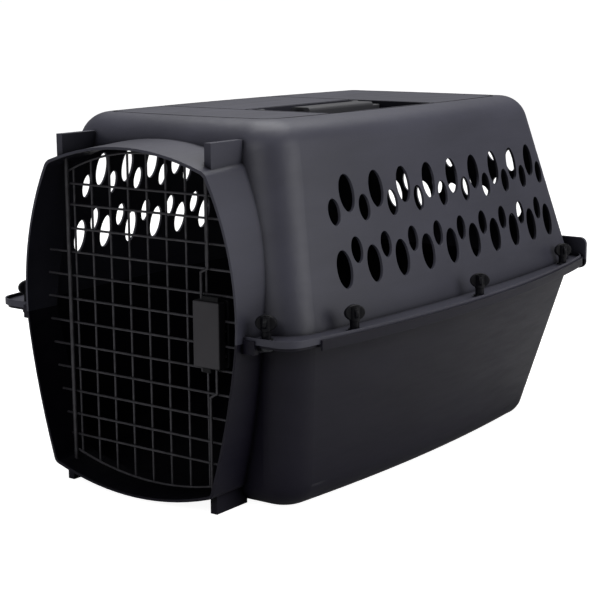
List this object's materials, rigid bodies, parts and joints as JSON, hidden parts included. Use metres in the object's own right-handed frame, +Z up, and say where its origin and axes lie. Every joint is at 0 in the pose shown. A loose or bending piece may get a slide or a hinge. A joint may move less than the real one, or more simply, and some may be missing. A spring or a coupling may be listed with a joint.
{
  "type": "pet transport carrier",
  "caption": "Two-piece moulded animal carrier with a barrel-shaped doorway, swinging wire door with squeeze latch, oval side vents, seam flange fasteners and a folding carry handle.",
  "frame": {"origin": "on the floor plane under the centre of the overall box", "axes": "+Z up, +Y from the door towards the back, +X to the right when facing the door"},
  "size_m": [0.4354, 0.618, 0.3725],
  "materials": {
    "shell_grey": "fine moulded texture, semi-matte",
    "shell_black": "fine moulded texture, semi-matte",
    "handle_grey": "semi-matte",
    "nut_black": "semi-gloss moulded",
    "latch_grey": "semi-matte",
    "latch_black": "matte",
    "door_wire": "dark coated wire, satin",
    "rod_steel": "dark coated rod, satin",
    "bolt_zinc": "zinc plated",
    "washer_zinc": "zinc plated",
    "pin_steel": "plain",
    "screw_steel": "plain",
    "spring_steel": "bright wire"
  },
  "bodies": {
    "shell": {"top_shell": "shell_grey", "bottom_shell": "shell_black", "seam_bolts": "bolt_zinc", "seam_washers": "washer_zinc", "handle_pins": "pin_steel"},
    "door": {"door_uprights": "door_wire", "door_rails": "door_wire", "door_frame_top": "door_wire", "door_frame_bottom": "door_wire", "hinge_rod": "rod_steel", "latch_cover": "latch_grey", "latch_base": "latch_black", "latch_screws": "screw_steel", "latch_spring": "spring_steel"},
    "upper_latch": {"upper_latch_rod": "rod_steel", "upper_finger_tab": "latch_black"},
    "lower_latch": {"lower_latch_rod": "rod_steel", "lower_finger_tab": "latch_black"},
    "handle": {"handle": "handle_grey"},
    "wing_nut_r1": {"wing_nut_r1": "nut_black"},
    "wing_nut_r2": {"wing_nut_r2": "nut_black"},
    "wing_nut_r3": {"wing_nut_r3": "nut_black"},
    "wing_nut_r4": {"wing_nut_r4": "nut_black"},
    "wing_nut_l1": {"wing_nut_l1": "nut_black"},
    "wing_nut_l2": {"wing_nut_l2": "nut_black"},
    "wing_nut_l3": {"wing_nut_l3": "nut_black"},
    "wing_nut_l4": {"wing_nut_l4": "nut_black"}
  },
  "joints": [
    {"name": "door_swing", "type": "hinge", "parent": "shell", "child": "door", "pos_m": [-0.0955, -0.2877, 0.17], "axis": [0, 0, -1], "range_deg": [0, 95]},
    {"name": "upper_latch_slide", "type": "slide", "parent": "door", "child": "upper_latch", "axis": [0, 0, 1], "range_m": [-0.003, 0.005], "deforming": ["latch_spring"]},
    {"name": "lower_latch_slide", "type": "slide", "parent": "door", "child": "lower_latch", "axis": [0, 0, 1], "range_m": [-0.005, 0.003]},
    {"name": "handle_fold", "type": "hinge", "parent": "shell", "child": "handle", "pos_m": [0.012, -0.028, 0.3648], "axis": [0, -1, 0], "range_deg": [0, 90]},
    {"name": "wing_nut_r1_turn", "type": "hinge", "parent": "shell", "child": "wing_nut_r1", "pos_m": [0.156, -0.289, 0.19], "axis": [0, 0, 1], "continuous": true},
    {"name": "wing_nut_r2_turn", "type": "hinge", "parent": "shell", "child": "wing_nut_r2", "pos_m": [0.195, -0.204, 0.19], "axis": [0, 0, 1], "continuous": true},
    {"name": "wing_nut_r3_turn", "type": "hinge", "parent": "shell", "child": "wing_nut_r3", "pos_m": [0.2055, 0.01, 0.19], "axis": [0, 0, 1], "continuous": true},
    {"name": "wing_nut_r4_turn", "type": "hinge", "parent": "shell", "child": "wing_nut_r4", "pos_m": [0.184, 0.238, 0.19], "axis": [0, 0, 1], "continuous": true},
    {"name": "wing_nut_l1_turn", "type": "hinge", "parent": "shell", "child": "wing_nut_l1", "pos_m": [-0.156, -0.289, 0.19], "axis": [0, 0, 1], "continuous": true},
    {"name": "wing_nut_l2_turn", "type": "hinge", "parent": "shell", "child": "wing_nut_l2", "pos_m": [-0.195, -0.204, 0.19], "axis": [0, 0, 1], "continuous": true},
    {"name": "wing_nut_l3_turn", "type": "hinge", "parent": "shell", "child": "wing_nut_l3", "pos_m": [-0.2055, 0.01, 0.19], "axis": [0, 0, 1], "continuous": true},
    {"name": "wing_nut_l4_turn", "type": "hinge", "parent": "shell", "child": "wing_nut_l4", "pos_m": [-0.184, 0.238, 0.19], "axis": [0, 0, 1], "continuous": true}
  ],
  "couplings": [
    {"joint": "lower_latch_slide", "follows": "upper_latch_slide", "ratio": -1}
  ]
}
